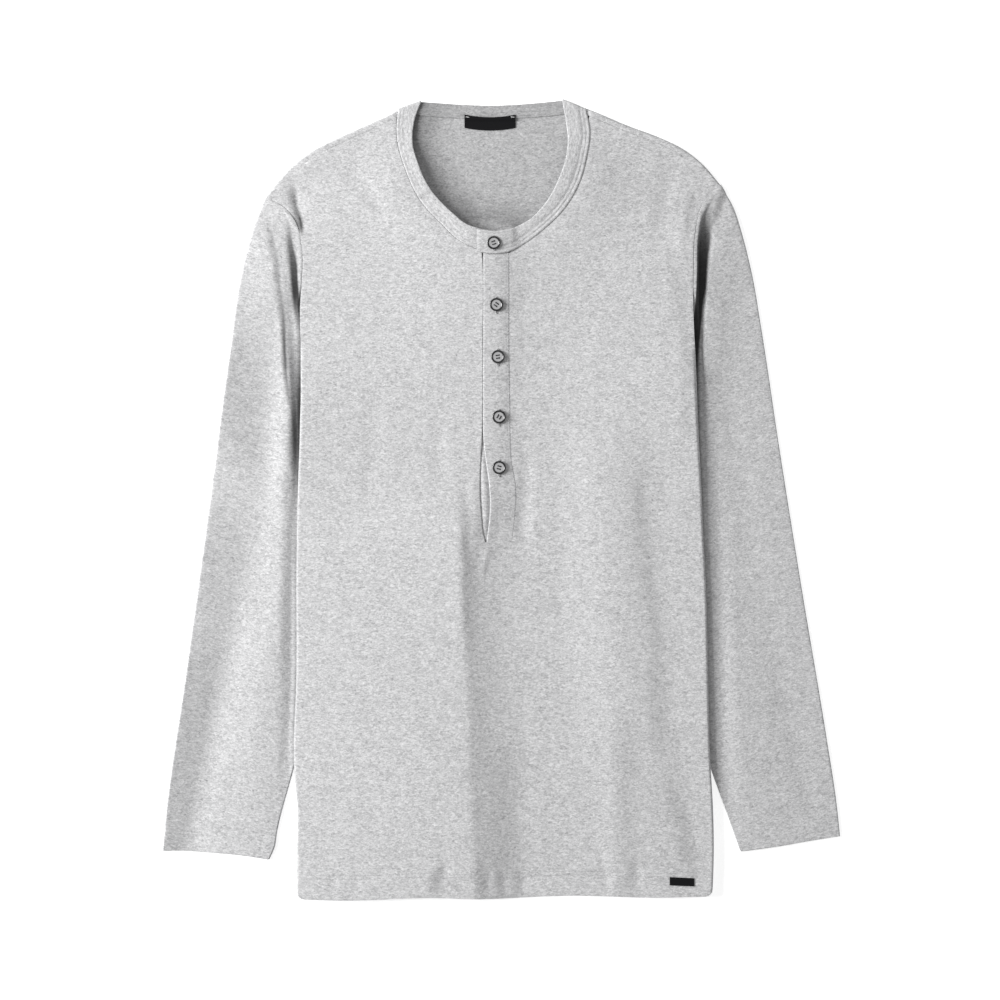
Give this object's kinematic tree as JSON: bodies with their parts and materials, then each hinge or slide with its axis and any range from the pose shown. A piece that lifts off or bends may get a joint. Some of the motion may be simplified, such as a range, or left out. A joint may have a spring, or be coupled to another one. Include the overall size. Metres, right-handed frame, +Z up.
{
  "type": "henley shirt",
  "caption": "Long-sleeved jersey henley with a banded neck and a buttoned placket, laid flat face up.",
  "frame": {"origin": "centre of the bottom of the bounding box", "axes": "+Y up the shirt from hem to neck, +X to the wearer's left, +Z up out of the surface it lies on"},
  "size_m": [0.6436, 0.7576, 0.0141],
  "materials": {
    "jersey": "matte",
    "button": "gloss",
    "label": "matte"
  },
  "bodies": {
    "root": {"back_panel": "jersey", "front_panel": "jersey", "sleeve_right": "jersey", "sleeve_left": "jersey", "neckband": "jersey", "placket_top": "jersey", "placket_under": "jersey", "button_1": "button", "button_2": "button", "button_3": "button", "button_4": "button", "button_5": "button", "neck_label": "label", "hem_label": "label"}
  },
  "joints": []
}
